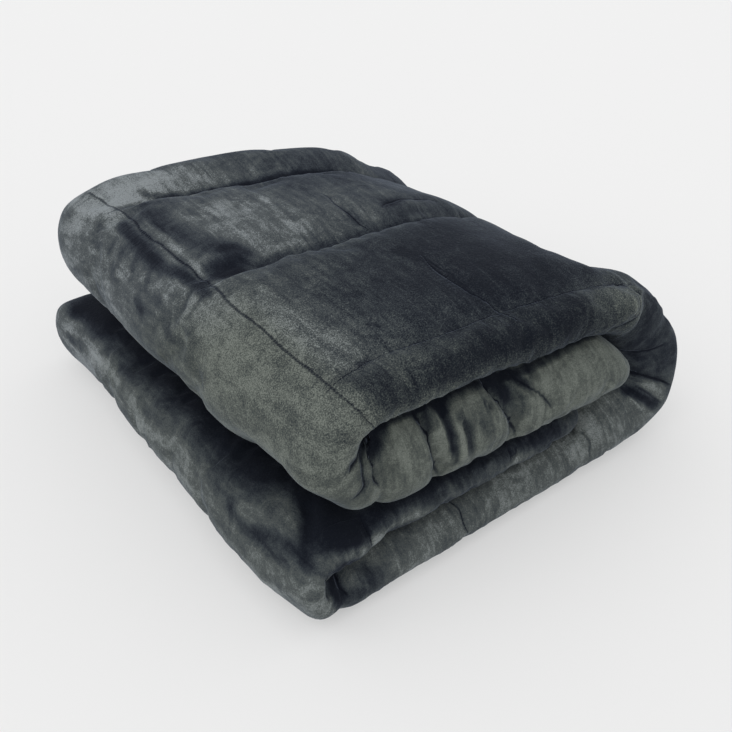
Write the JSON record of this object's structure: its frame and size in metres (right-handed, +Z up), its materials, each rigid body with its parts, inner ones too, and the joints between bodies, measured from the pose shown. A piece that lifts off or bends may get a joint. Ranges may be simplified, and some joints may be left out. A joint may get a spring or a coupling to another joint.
{
  "type": "comforter",
  "caption": "Quilted plush comforter folded to a low rectangular stack, its ends turned in and the whole folded over once, for bedding.",
  "frame": {"origin": "centre of the bounding box on the floor, in the plane of the flat underside", "axes": "+X toward the single wide fold, +Y along the folds away from the open folded rims, +Z up"},
  "size_m": [0.5168, 0.553, 0.2376],
  "materials": {
    "plush": "matt short-pile plush with a nap that shows lighter and darker patches"
  },
  "bodies": {
    "root": {"comforter": "plush"}
  },
  "joints": []
}
